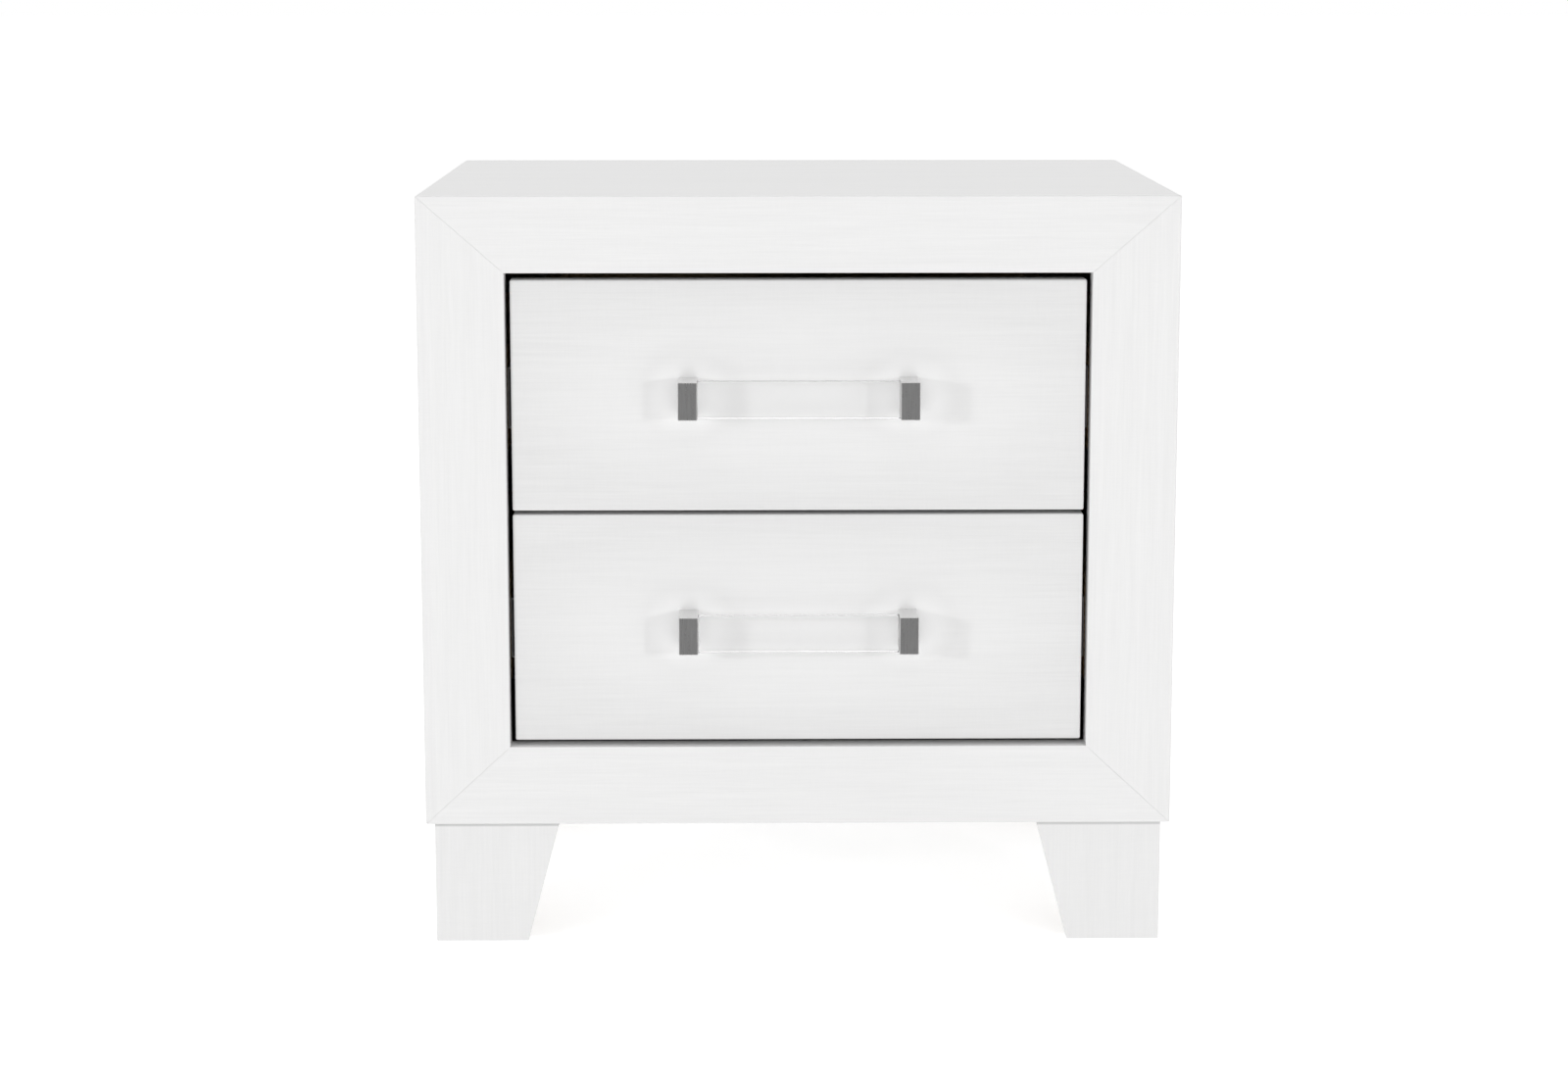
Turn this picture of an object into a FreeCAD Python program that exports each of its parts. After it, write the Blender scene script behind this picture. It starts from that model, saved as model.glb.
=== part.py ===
import FreeCAD
import Part
import os
import re
from FreeCAD import Placement, Rotation, Vector
from Sketcher import Constraint

# Nightstand with two drawers: a mitred white case with a wide picture-frame front, two inset
# drawers on full-extension ball-bearing slides, bar handles and four L-shaped bracket feet.
# +X is the right-hand side seen from the front, -Y the front and +Z up. The origin lies on
# the floor, in the middle of the whole object. All lengths are millimetres.

SIZES = {
    # case
    "case_width": 550,
    "case_depth": 400,
    "case_height": 464,
    "panel_thickness": 16,
    "case_edge_round": 1.2,
    # front frame, and the thin glue line seen at its mitres
    "frame_thickness": 18,
    "stile_width": 63,
    "top_rail_height": 55.5,
    "bottom_rail_height": 58.5,
    "opening_edge_round": 0.5,
    "glue_line": 0.08,
    # back panel in its rabbet
    "back_thickness": 4,
    "back_recess": 2,
    "rabbet_width": 8,
    "back_clearance": 0.5,
    # legs and the blocks that fix them
    "leg_height": 91,
    "leg_top_width": 92.5,
    "leg_foot_width": 68.5,
    "leg_board_thickness": 12,
    "leg_side_inset": 6,
    "leg_front_inset": 5.5,
    "leg_edge_round": 1.2,
    "block_width": 34,
    "block_height": 45,
    # drawer fronts
    "front_thickness": 18,
    "front_recess": 5,
    "front_side_gap": 3.75,
    "front_top_gap": 5.5,
    "front_middle_gap": 3,
    "front_bottom_gap": 4,
    "front_edge_round": 1.4,
    # drawer boxes
    "box_board_thickness": 12,
    "box_lower_margin": 16,
    "box_upper_margin": 24,
    "floor_thickness": 5,
    "floor_margin": 10,
    "groove_depth": 6,
    "groove_clearance": 0.1,
    # slides: standard section, made in lengths that are multiples of a step
    "slide_thickness": 12.7,
    "slide_height": 45,
    "slide_wall": 1.2,
    "slide_lip": 1.5,
    "slide_step": 50,
    "slide_setback": 2,
    "slide_back_margin": 10,
    "middle_web_gap": 2,
    "middle_lip": 0.8,
    "drawer_web_gap": 1.2,
    "batten_margin": 15.5,
    "batten_back_gap": 2,
    # balls and the strips that hold them
    "ball_radius": 1.9,
    "ball_clearance": 0.15,
    "cage_thickness": 0.8,
    "cage_width": 5,
    "cage_end_gap": 12.5,
    # handles
    "handle_spacing": 160,
    "handle_projection": 30,
    "post_width": 14,
    "post_height": 27.5,
    "post_edge_round": 0.8,
    "bar_height": 27,
    "bar_thickness": 8,
    "bar_setback": 6,
    "bar_edge_round": 0.5,
    "tenon_height": 16,
    "tenon_thickness": 4,
    "tenon_length": 3,
    "tenon_clearance": 0.1,
    # screws: shank radius, length, head radius and head height
    "back_screw_radius": 1.5,
    "back_screw_length": 16,
    "back_screw_head_radius": 3,
    "back_screw_head_height": 1.4,
    "leg_screw_radius": 2.5,
    "leg_screw_grip": 12,
    "leg_screw_head_radius": 4.5,
    "leg_screw_head_height": 2.5,
    "leg_screw_spacing": 16,
    "batten_screw_radius": 2.5,
    "batten_screw_grip": 11,
    "batten_screw_head_radius": 4,
    "batten_screw_head_height": 2.5,
    "batten_screw_gap": 2.5,
    "batten_screw_inset": 60,
    "slide_screw_radius": 1.8,
    "slide_screw_length": 11,
    "slide_screw_head_radius": 3.2,
    "slide_screw_head_height": 1.3,
    "slide_screw_inset": 40,
    "handle_screw_radius": 2,
    "handle_screw_grip": 12,
    "handle_screw_head_radius": 4,
    "handle_screw_head_height": 2.4,
    "front_screw_radius": 2,
    "front_screw_grip": 12,
    "front_screw_head_radius": 4,
    "front_screw_head_height": 2.4,
    "front_screw_inset": 48,
    "front_screw_rise": 36,
    "screw_head_chamfer": 0.4,
    "screw_clearance": 0.1,
    "screw_tip_clearance": 1,
    # cross recesses for the driver, which stop short of the head's rim
    "recess_width": 0.9,
    "recess_depth": 1,
    "recess_rim": 1.3,
}

BALLS_PER_CAGE = 5
BACK_SCREWS_ACROSS = 4
BACK_SCREWS_UP = 3
CUTTER_EXCESS = "10"

# Places and sizes worked out from the sheet's values. Each is an expression in its own brackets.
HALF_WIDTH = "(case_width / 2)"
CASE_FRONT = "((handle_projection - front_recess - case_depth) / 2)"
CASE_BACK = f"({CASE_FRONT} + case_depth)"
CASE_BOTTOM = "(leg_height)"
CASE_TOP = "(leg_height + case_height)"
FRAME_BACK = f"({CASE_FRONT} + frame_thickness)"
INNER_HALF = "(case_width / 2 - panel_thickness)"
OPENING_HALF = "(case_width / 2 - stile_width)"
OPENING_BOTTOM = "(leg_height + bottom_rail_height)"
OPENING_TOP = f"({CASE_TOP} - top_rail_height)"
BACK_PANEL_FACE = f"({CASE_BACK} - back_recess - back_thickness)"

FRONT_FACE = f"({CASE_FRONT} + front_recess)"
FRONT_REAR = f"({FRONT_FACE} + front_thickness)"
FRONT_HALF = f"({OPENING_HALF} - front_side_gap)"
FRONT_HEIGHT = (
    f"(({OPENING_TOP} - {OPENING_BOTTOM} - front_top_gap - front_middle_gap - front_bottom_gap) / 2)"
)
FRONT_BOTTOMS = {
    "lower": f"({OPENING_BOTTOM} + front_bottom_gap)",
    "upper": f"({OPENING_TOP} - front_top_gap - {FRONT_HEIGHT})",
}
SIDES = {"left": -1, "right": 1}

SLIDE_FRONT = f"({FRONT_REAR} + slide_setback)"
SLIDE_LENGTH = (
    f"(floor(({BACK_PANEL_FACE} - {SLIDE_FRONT} - slide_back_margin) / slide_step) * slide_step)"
)
SLIDE_BACK = f"({SLIDE_FRONT} + {SLIDE_LENGTH})"
BALL_GAP = "(2 * (ball_radius + ball_clearance))"
CASE_RAIL_HALF = "(slide_height / 2)"
BATTEN_HALF = f"({CASE_RAIL_HALF} + batten_margin)"
BATTEN_SCREW_RISE = f"({CASE_RAIL_HALF} + batten_screw_gap + batten_screw_head_radius)"
MIDDLE_RAIL_HALF = f"({CASE_RAIL_HALF} - slide_wall - {BALL_GAP})"
DRAWER_RAIL_HALF = f"({MIDDLE_RAIL_HALF} - slide_wall - {BALL_GAP})"
MIDDLE_WEB = "(slide_wall + middle_web_gap)"
MIDDLE_TIP = "(slide_thickness - slide_lip - middle_lip)"
DRAWER_TIP = f"({MIDDLE_WEB} + slide_wall + drawer_web_gap)"
CAGE_CENTRE = f"(({DRAWER_TIP} + {MIDDLE_TIP}) / 2)"
CAGE_LENGTH = f"({SLIDE_LENGTH} / 2 - 2 * cage_end_gap)"
CAGE_FRONT = f"({SLIDE_FRONT} + {SLIDE_LENGTH} / 4 + cage_end_gap)"

BOX_HALF = f"({OPENING_HALF} - slide_thickness)"
BOX_BACK = SLIDE_BACK
BOX_HEIGHT = f"({FRONT_HEIGHT} - box_lower_margin - box_upper_margin)"

POST_FRONT = f"({FRONT_FACE} - handle_projection)"
BAR_HALF = "((handle_spacing - post_width) / 2)"

document = FreeCAD.newDocument("nightstand")
sheet = document.addObject("Spreadsheet::Sheet", "sizes")
for row, (alias, size) in enumerate(SIZES.items(), start=1):
    sheet.set(f"A{row}", alias)
    sheet.set(f"B{row}", str(size))
    sheet.setAlias(f"B{row}", alias)
document.recompute()

parts = {}


def bound(expression):
    """The expression with each size written as the cell of the sheet that holds it."""
    return re.sub(r"[a-z]\w*", lambda word: f"sizes.{word[0]}" if word[0] in SIZES else word[0], expression)


def number(expression):
    return float(sheet.evalExpression(bound(expression)))


def bind(item, **sizes):
    for name, expression in sizes.items():
        item.setExpression(name, bound(expression))
    return item


def place(item, x, y, z, rotation=None):
    """Put an object at a place worked out from the sheet, turned by a fixed rotation."""
    item.Placement = Placement(Vector(), rotation or Rotation())
    for axis, expression in zip("xyz", (x, y, z)):
        item.setExpression(f"Placement.Base.{axis}", bound(expression))
    return item


def keep(name, item):
    """Make an object the sub-part of that name."""
    item.Label = name
    parts[name] = item
    return item


def sketch_on(body, role, start, *outlines):
    """Closed outlines of straight lines on an origin plane of the body, moved along its normal."""
    plane = next(item for item in body.Origin.OriginFeatures if item.Role == role)
    sketch = body.newObject("Sketcher::SketchObject", "Outline")
    sketch.AttachmentSupport = [(plane, "")]
    sketch.MapMode = "FlatFace"
    sketch.setExpression("AttachmentOffset.Base.z", bound(start))
    for outline in outlines:
        first = sketch.GeometryCount
        corners = [Vector(number(across), number(up), 0) for across, up in outline]
        for corner, following in zip(corners, corners[1:] + corners[:1]):
            sketch.addGeometry(Part.LineSegment(corner, following))
        for index, (across, up) in enumerate(outline):
            line = first + index
            following = first + (index + 1) % len(outline)
            sketch.addConstraint(Constraint("Coincident", line, 2, following, 1))
            for kind, expression in (("DistanceX", across), ("DistanceY", up)):
                added = sketch.addConstraint(Constraint(kind, -1, 1, line, 1, number(expression)))
                sketch.renameConstraint(added, f"{kind}{line}")
                sketch.setExpression(f"Constraints.{kind}{line}", bound(expression))
    return sketch


def pad_front(body, outlines, front, thickness):
    """Pad outlines given as X and Z, from their front face backwards."""
    pad = body.newObject("PartDesign::Pad", "Pad")
    pad.Profile = sketch_on(body, "XZ_Plane", f"-({front})", *outlines)
    pad.Reversed = True
    bind(pad, Length=thickness)
    document.recompute()
    return pad


def pad_side(body, outline, left, thickness):
    """Pad an outline given as Y and Z, from its left face to the right."""
    pad = body.newObject("PartDesign::Pad", "Pad")
    pad.Profile = sketch_on(body, "YZ_Plane", left, outline)
    bind(pad, Length=thickness)
    document.recompute()
    return pad


def new_body(name):
    return document.addObject("PartDesign::Body", name)


def rectangle(low_across, low_up, high_across, high_up):
    return [
        (low_across, low_up),
        (high_across, low_up),
        (high_across, high_up),
        (low_across, high_up),
    ]


def front_board(name, outline, front, thickness):
    """A board that faces forwards."""
    body = new_body(name)
    pad_front(body, [outline], front, thickness)
    return body


def side_board(name, outline, left, thickness):
    """A board that faces sideways."""
    body = new_body(name)
    pad_side(body, outline, left, thickness)
    return body


def block(name, x, y, z, width, depth, height):
    """A box with its lowest corner at x, y, z."""
    box = document.addObject("Part::Box", name)
    bind(box, Length=width, Width=depth, Height=height)
    return place(box, x, y, z)


def cut(name, base, *tools):
    """The base with each of the tools taken away from it."""
    for tool in tools:
        result = document.addObject("Part::Cut", name)
        result.Base = base
        result.Tool = tool
        base = result
    return base


def common(name, base, tool):
    result = document.addObject("Part::Common", name)
    result.Base = base
    result.Tool = tool
    return result


def together(name, items):
    compound = document.addObject("Part::Compound", name)
    compound.Links = items
    return compound


def copies(name, master, places, rotation=None):
    """Links to one master, one at each place."""
    links = []
    for index, (x, y, z) in enumerate(places):
        link = document.addObject("App::Link", f"{name}_{index}")
        link.LinkedObject = master
        link.LinkTransform = False
        links.append(place(link, x, y, z, rotation))
    return links


def round_edges(body, pad, wanted, radius):
    """Round the edges of a pad that the test picks."""
    names = [f"Edge{index}" for index, edge in enumerate(pad.Shape.Edges, start=1) if wanted(edge)]
    fillet = body.newObject("PartDesign::Fillet", "Rounding")
    fillet.Base = (pad, names)
    bind(fillet, Radius=radius)
    document.recompute()
    return fillet


def lies_at(edge, axis, position):
    """True for an edge all of whose points have this coordinate."""
    box = edge.BoundBox
    low, high = {"x": (box.XMin, box.XMax), "y": (box.YMin, box.YMax), "z": (box.ZMin, box.ZMax)}[axis]
    return abs(low - position) < 1e-4 and abs(high - position) < 1e-4


def is_opening_arris(edge):
    """True for the four edges of the opening in the case's front face."""
    middle = edge.CenterOfMass
    inside = abs(middle.x) < number(HALF_WIDTH) and number(CASE_BOTTOM) < middle.z < number(CASE_TOP)
    return lies_at(edge, "y", number(CASE_FRONT)) and inside and not on_case_side(edge)


def on_case_side(edge):
    return any(lies_at(edge, "x", sign * number(HALF_WIDTH)) for sign in SIDES.values())


def screws(name, kind, length, places, rotation):
    """Pan-head screws of one kind with cross recesses, and the drills of their holes.

    A screw's place is under its head, and the rotation turns +Z to where its tip points.
    """
    body = new_body(f"{kind}_screw")
    sketch = sketch_on(
        body,
        "XZ_Plane",
        "0",
        [
            ("0", f"-{kind}_screw_head_height"),
            (f"{kind}_screw_head_radius - screw_head_chamfer", f"-{kind}_screw_head_height"),
            (f"{kind}_screw_head_radius", f"screw_head_chamfer - {kind}_screw_head_height"),
            (f"{kind}_screw_head_radius", "0"),
            (f"{kind}_screw_radius", "0"),
            (f"{kind}_screw_radius", f"{length} - {kind}_screw_radius"),
            ("0", length),
        ],
    )
    turned = body.newObject("PartDesign::Revolution", "Turned")
    turned.Profile = sketch
    turned.ReferenceAxis = (sketch, ["V_Axis"])
    turned.Angle = 360
    reach = f"({kind}_screw_head_radius - recess_rim)"
    wing = "(recess_width / 2)"
    cross = [
        (reach, f"-{wing}"),
        (reach, wing),
        (wing, wing),
        (wing, reach),
        (f"-{wing}", reach),
        (f"-{wing}", wing),
        (f"-{reach}", wing),
        (f"-{reach}", f"-{wing}"),
        (f"-{wing}", f"-{wing}"),
        (f"-{wing}", f"-{reach}"),
        (wing, f"-{reach}"),
        (wing, f"-{wing}"),
    ]
    recess = body.newObject("PartDesign::Pocket", "Recess")
    recess.Profile = sketch_on(body, "XY_Plane", f"-{kind}_screw_head_height", cross)
    recess.Reversed = True
    bind(recess, Length="recess_depth")
    document.recompute()
    drill = document.addObject("Part::Cylinder", f"{name}_drill")
    bind(drill, Radius=f"{kind}_screw_radius + screw_clearance", Height=f"{length} + screw_tip_clearance")
    group = together(name, copies(name, body, places, rotation))
    return group, together(f"{name}_holes", copies(f"{name}_hole", drill, places, rotation))


TO_FRONT = Rotation(Vector(1, 0, 0), 90)
TO_LEFT = Rotation(Vector(0, 1, 0), -90)
TO_RIGHT = Rotation(Vector(0, 1, 0), 90)
TO_TOP = Rotation()


def slide_axis(level):
    """The height of the middle of a drawer's slides, which is that of its box."""
    return f"({FRONT_BOTTOMS[level]} + box_lower_margin + {BOX_HEIGHT} / 2)"


def slide_x(side, reach):
    """X at a distance from the batten's face towards the drawer."""
    return f"({SIDES[side]} * ({OPENING_HALF} - ({reach})))"


def channel(name, side, level, web, inner_web, tip, half):
    """A slide's rail: a C-shaped section with its web at one depth and its lips at another."""
    axis = slide_axis(level)
    corners = [
        (web, f"{half}"),
        (tip, f"{half}"),
        (tip, f"{half} - slide_wall"),
        (inner_web, f"{half} - slide_wall"),
        (inner_web, f"slide_wall - {half}"),
        (tip, f"slide_wall - {half}"),
        (tip, f"-{half}"),
        (web, f"-{half}"),
    ]
    outline = [(slide_x(side, reach), f"{axis} + {rise}") for reach, rise in corners]
    return front_board(name, outline, SLIDE_FRONT, SLIDE_LENGTH)


# The back panel's screws stand in the middle of the rabbet's ledge, all round.
LEDGE_X = f"({INNER_HALF} + rabbet_width / 2)"
LEDGE_TOP = f"({CASE_TOP} - panel_thickness + rabbet_width / 2)"
LEDGE_BOTTOM = f"({CASE_BOTTOM} + panel_thickness - rabbet_width / 2)"


def back_screw_places():
    rear = f"{BACK_PANEL_FACE} + back_thickness"
    places = []
    for index in range(BACK_SCREWS_ACROSS):
        share = f"{2 * index + 1 - BACK_SCREWS_ACROSS} / {BACK_SCREWS_ACROSS}"
        places += [(f"{LEDGE_X} * {share}", rear, height) for height in (LEDGE_BOTTOM, LEDGE_TOP)]
    for index in range(BACK_SCREWS_UP):
        share = f"{2 * index + 1} / {2 * BACK_SCREWS_UP}"
        height = f"{LEDGE_BOTTOM} + ({LEDGE_TOP} - {LEDGE_BOTTOM}) * {share}"
        places += [(f"{sign} * {LEDGE_X}", rear, height) for sign in SIDES.values()]
    return places


def make_case():
    """Four mitred panels, the front frame's four mitred members and the back panel."""
    face = rectangle(f"-{HALF_WIDTH}", CASE_BOTTOM, HALF_WIDTH, CASE_TOP)
    envelope = new_body("envelope")
    pad = pad_front(envelope, [face], CASE_FRONT, "case_depth")
    round_edges(envelope, pad, lambda edge: True, "case_edge_round")

    # The frame's blank narrows backwards by a panel's thickness, which makes the corner mitres.
    blank = document.addObject("Part::Wedge", "frame_blank")
    bind(
        blank,
        Xmin=f"-{HALF_WIDTH}",
        Xmax=HALF_WIDTH,
        X2min=f"-{INNER_HALF}",
        X2max=INNER_HALF,
        Ymin=CASE_FRONT,
        Ymax=FRAME_BACK,
        Zmin=CASE_BOTTOM,
        Zmax=CASE_TOP,
        Z2min=f"{CASE_BOTTOM} + panel_thickness",
        Z2max=f"{CASE_TOP} - panel_thickness",
    )
    ring = new_body("frame_ring")
    opening = rectangle(f"-{OPENING_HALF}", OPENING_BOTTOM, OPENING_HALF, OPENING_TOP)
    pad = pad_front(ring, [face, opening], CASE_FRONT, "frame_thickness")
    round_edges(ring, pad, is_opening_arris, "opening_edge_round")
    frame = common("frame", common("frame_mitred", ring, blank), envelope)

    cavity = block(
        "cavity",
        f"-{INNER_HALF}",
        f"{CASE_FRONT} - {CUTTER_EXCESS}",
        f"{CASE_BOTTOM} + panel_thickness",
        f"2 * {INNER_HALF}",
        f"case_depth + 2 * {CUTTER_EXCESS}",
        "case_height - 2 * panel_thickness",
    )
    rabbet = block(
        "rabbet",
        f"-{INNER_HALF} - rabbet_width",
        BACK_PANEL_FACE,
        f"{CASE_BOTTOM} + panel_thickness - rabbet_width",
        f"2 * ({INNER_HALF} + rabbet_width)",
        f"back_thickness + back_recess + {CUTTER_EXCESS}",
        "case_height - 2 * (panel_thickness - rabbet_width)",
    )

    battens, batten_holes = make_battens()
    back_screws, back_holes = screws(
        "back_panel_screws", "back", "back_screw_length", back_screw_places(), TO_FRONT
    )
    keep("back_panel_screws", back_screws)
    leg_holes = make_leg_fixings()
    shell = cut("case_shell", envelope, blank, cavity, rabbet, back_holes)

    corner = {
        ("outer", -1, "top"): (f"-{HALF_WIDTH}", CASE_TOP),
        ("outer", 1, "top"): (HALF_WIDTH, CASE_TOP),
        ("outer", -1, "bottom"): (f"-{HALF_WIDTH}", CASE_BOTTOM),
        ("outer", 1, "bottom"): (HALF_WIDTH, CASE_BOTTOM),
        ("inner", -1, "top"): (f"-{INNER_HALF}", f"{CASE_TOP} - panel_thickness"),
        ("inner", 1, "top"): (INNER_HALF, f"{CASE_TOP} - panel_thickness"),
        ("inner", -1, "bottom"): (f"-{INNER_HALF}", f"{CASE_BOTTOM} + panel_thickness"),
        ("inner", 1, "bottom"): (INNER_HALF, f"{CASE_BOTTOM} + panel_thickness"),
    }

    def panel_prism(name, ends):
        (left_sign, left_end), (right_sign, right_end) = ends
        outline = [
            corner["outer", left_sign, left_end],
            corner["outer", right_sign, right_end],
            corner["inner", right_sign, right_end],
            corner["inner", left_sign, left_end],
        ]
        return front_board(f"{name}_prism", outline, CASE_FRONT, "case_depth")

    for name, ends, holes in (
        ("top_panel", ((-1, "top"), (1, "top")), ()),
        ("bottom_panel", ((-1, "bottom"), (1, "bottom")), (leg_holes,)),
        ("left_side_panel", ((-1, "bottom"), (-1, "top")), (batten_holes["left"],)),
        ("right_side_panel", ((1, "bottom"), (1, "top")), (batten_holes["right"],)),
    ):
        panel = common(name, shell, panel_prism(name, ends))
        keep(name, cut(name, panel, *holes))

    for level, outer, inner in (("top", CASE_TOP, OPENING_TOP), ("bottom", CASE_BOTTOM, OPENING_BOTTOM)):
        outline = [
            (f"glue_line - {HALF_WIDTH}", outer),
            (f"{HALF_WIDTH} - glue_line", outer),
            (f"{OPENING_HALF} - glue_line", inner),
            (f"glue_line - {OPENING_HALF}", inner),
        ]
        prism = front_board(f"{level}_rail_prism", outline, CASE_FRONT, "frame_thickness")
        keep(f"{level}_rail", common(f"{level}_rail", frame, prism))
    for side, sign in SIDES.items():
        outline = [
            (f"{sign} * {HALF_WIDTH}", CASE_BOTTOM),
            (f"{sign} * {OPENING_HALF}", OPENING_BOTTOM),
            (f"{sign} * {OPENING_HALF}", OPENING_TOP),
            (f"{sign} * {HALF_WIDTH}", CASE_TOP),
        ]
        prism = front_board(f"{side}_stile_prism", outline, CASE_FRONT, "frame_thickness")
        keep(f"{side}_stile", common(f"{side}_stile", frame, prism))

    reach = f"({INNER_HALF} + rabbet_width - back_clearance)"
    low = f"{CASE_BOTTOM} + panel_thickness - rabbet_width + back_clearance"
    high = f"{CASE_TOP} - panel_thickness + rabbet_width - back_clearance"
    back = front_board(
        "back_board", rectangle(f"-{reach}", low, reach, high), BACK_PANEL_FACE, "back_thickness"
    )
    keep("back_panel", cut("back_panel", back, back_holes))
    return battens


def make_battens():
    """Battens that pack the slides out from the side panels to the edges of the opening."""
    thickness = f"({INNER_HALF} - {OPENING_HALF})"
    length = f"({BACK_PANEL_FACE} - batten_back_gap - {FRAME_BACK})"
    holes = {}
    battens = {}
    everywhere = []
    for side, sign in SIDES.items():
        places = []
        for level in FRONT_BOTTOMS:
            axis = slide_axis(level)
            face = f"{sign} * {OPENING_HALF}"
            near = f"{FRAME_BACK} + batten_screw_inset"
            far = f"{FRAME_BACK} + {length} - batten_screw_inset"
            places.append((face, near, f"{axis} + {BATTEN_SCREW_RISE}"))
            places.append((face, far, f"{axis} - {BATTEN_SCREW_RISE}"))
        rotation = TO_RIGHT if sign > 0 else TO_LEFT
        group, holes[side] = screws(
            f"{side}_batten_screws",
            "batten",
            f"({thickness} + batten_screw_grip)",
            places,
            rotation,
        )
        everywhere.append(group)
        left = f"-{INNER_HALF}" if sign < 0 else OPENING_HALF
        for level in FRONT_BOTTOMS:
            axis = slide_axis(level)
            outline = rectangle(
                FRAME_BACK,
                f"{axis} - {BATTEN_HALF}",
                f"{FRAME_BACK} + {length}",
                f"{axis} + {BATTEN_HALF}",
            )
            battens[level, side] = side_board(f"{level}_{side}_batten_board", outline, left, thickness)
            battens[level, side] = cut(f"{level}_{side}_batten_drilled", battens[level, side], holes[side])
    keep("batten_screws", together("batten_screws", everywhere))
    return battens, holes


def leg_corners():
    """The name, the two signs and the face of each leg."""
    for end, sign, face in (
        ("front", 1, f"({CASE_FRONT} + leg_front_inset)"),
        ("back", -1, f"({CASE_BACK} - leg_front_inset)"),
    ):
        for side, side_sign in SIDES.items():
            yield f"{end}_{side}_leg", side_sign, sign, face


LEG_OUTER = f"({HALF_WIDTH} - leg_side_inset)"


def make_leg_fixings():
    """A block in the corner of each leg, screwed up into the bottom panel."""
    blocks = []
    places = []
    for name, side_sign, inward, face in leg_corners():
        outer = f"({side_sign} * ({LEG_OUTER} - leg_board_thickness))"
        near = f"({face} + {inward} * leg_board_thickness)"
        x = outer if side_sign < 0 else f"{outer} - block_width"
        y = near if inward > 0 else f"{near} - block_width"
        blocks.append(
            block(
                f"{name}_block",
                x,
                y,
                f"{CASE_BOTTOM} - block_height",
                "block_width",
                "block_width",
                "block_height",
            )
        )
        for offset in ("-leg_screw_spacing / 2", "leg_screw_spacing / 2"):
            middle = f"{x} + block_width / 2 + {offset}"
            places.append((middle, f"{y} + block_width / 2", f"{CASE_BOTTOM} - block_height"))
    group, holes = screws("leg_screws", "leg", "(block_height + leg_screw_grip)", places, TO_TOP)
    keep("leg_screws", group)
    solid = together("leg_block_stock", blocks)
    keep("leg_corner_blocks", cut("leg_corner_blocks", solid, holes))
    return holes


def make_legs():
    """Bracket feet: two boards that meet at the corner, each with its inner edge splayed."""
    for name, side_sign, inward, face in leg_corners():
        body = new_body(name)
        edge = f"({side_sign} * {LEG_OUTER})"
        outline = [
            (edge, "0"),
            (edge, "leg_height"),
            (f"{edge} - {side_sign} * leg_top_width", "leg_height"),
            (f"{edge} - {side_sign} * leg_foot_width", "0"),
        ]
        front = face if inward > 0 else f"{face} - leg_board_thickness"
        pad_front(body, [outline], front, "leg_board_thickness")
        outline = [
            (face, "0"),
            (face, "leg_height"),
            (f"{face} + {inward} * leg_top_width", "leg_height"),
            (f"{face} + {inward} * leg_foot_width", "0"),
        ]
        left = edge if side_sign < 0 else f"{edge} - leg_board_thickness"
        pad = pad_side(body, outline, left, "leg_board_thickness")
        corner_x = number(edge)
        corner_y = number(face)
        round_edges(
            body,
            pad,
            lambda line: lies_at(line, "x", corner_x) and lies_at(line, "y", corner_y),
            "leg_edge_round",
        )
        keep(name, body)


def slide_screw_places(side, reach, levels):
    return [
        (slide_x(side, reach), y, slide_axis(level))
        for level in levels
        for y in (f"{SLIDE_FRONT} + slide_screw_inset", f"{SLIDE_BACK} - slide_screw_inset")
    ]


def make_case_rails(battens):
    """The slides' case members, each screwed to its batten."""
    both = []
    for side, sign in SIDES.items():
        group, holes = screws(
            f"{side}_case_rail_screws",
            "slide",
            "slide_screw_length",
            slide_screw_places(side, "slide_wall", FRONT_BOTTOMS),
            TO_RIGHT if sign > 0 else TO_LEFT,
        )
        both.append(group)
        for level in FRONT_BOTTOMS:
            rail = channel(
                f"{level}_{side}_case_channel",
                side,
                level,
                "0",
                "slide_wall",
                "slide_thickness - slide_lip",
                CASE_RAIL_HALF,
            )
            name = f"{level}_{side}_slide_case_rail"
            keep(name, cut(name, rail, holes))
            name = f"{level}_{side}_slide_batten"
            keep(name, cut(name, battens[level, side], holes))
    keep("case_rail_screws", together("case_rail_screws", both))


def make_middle_rails(level):
    """The two middle members of one drawer's slides."""
    rails = [
        channel(
            f"{level}_{side}_middle_channel",
            side,
            level,
            MIDDLE_WEB,
            f"{MIDDLE_WEB} + slide_wall",
            MIDDLE_TIP,
            MIDDLE_RAIL_HALF,
        )
        for side in SIDES
    ]
    keep(f"{level}_slide_middle_rails", together(f"{level}_slide_middle_rails", rails))


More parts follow.
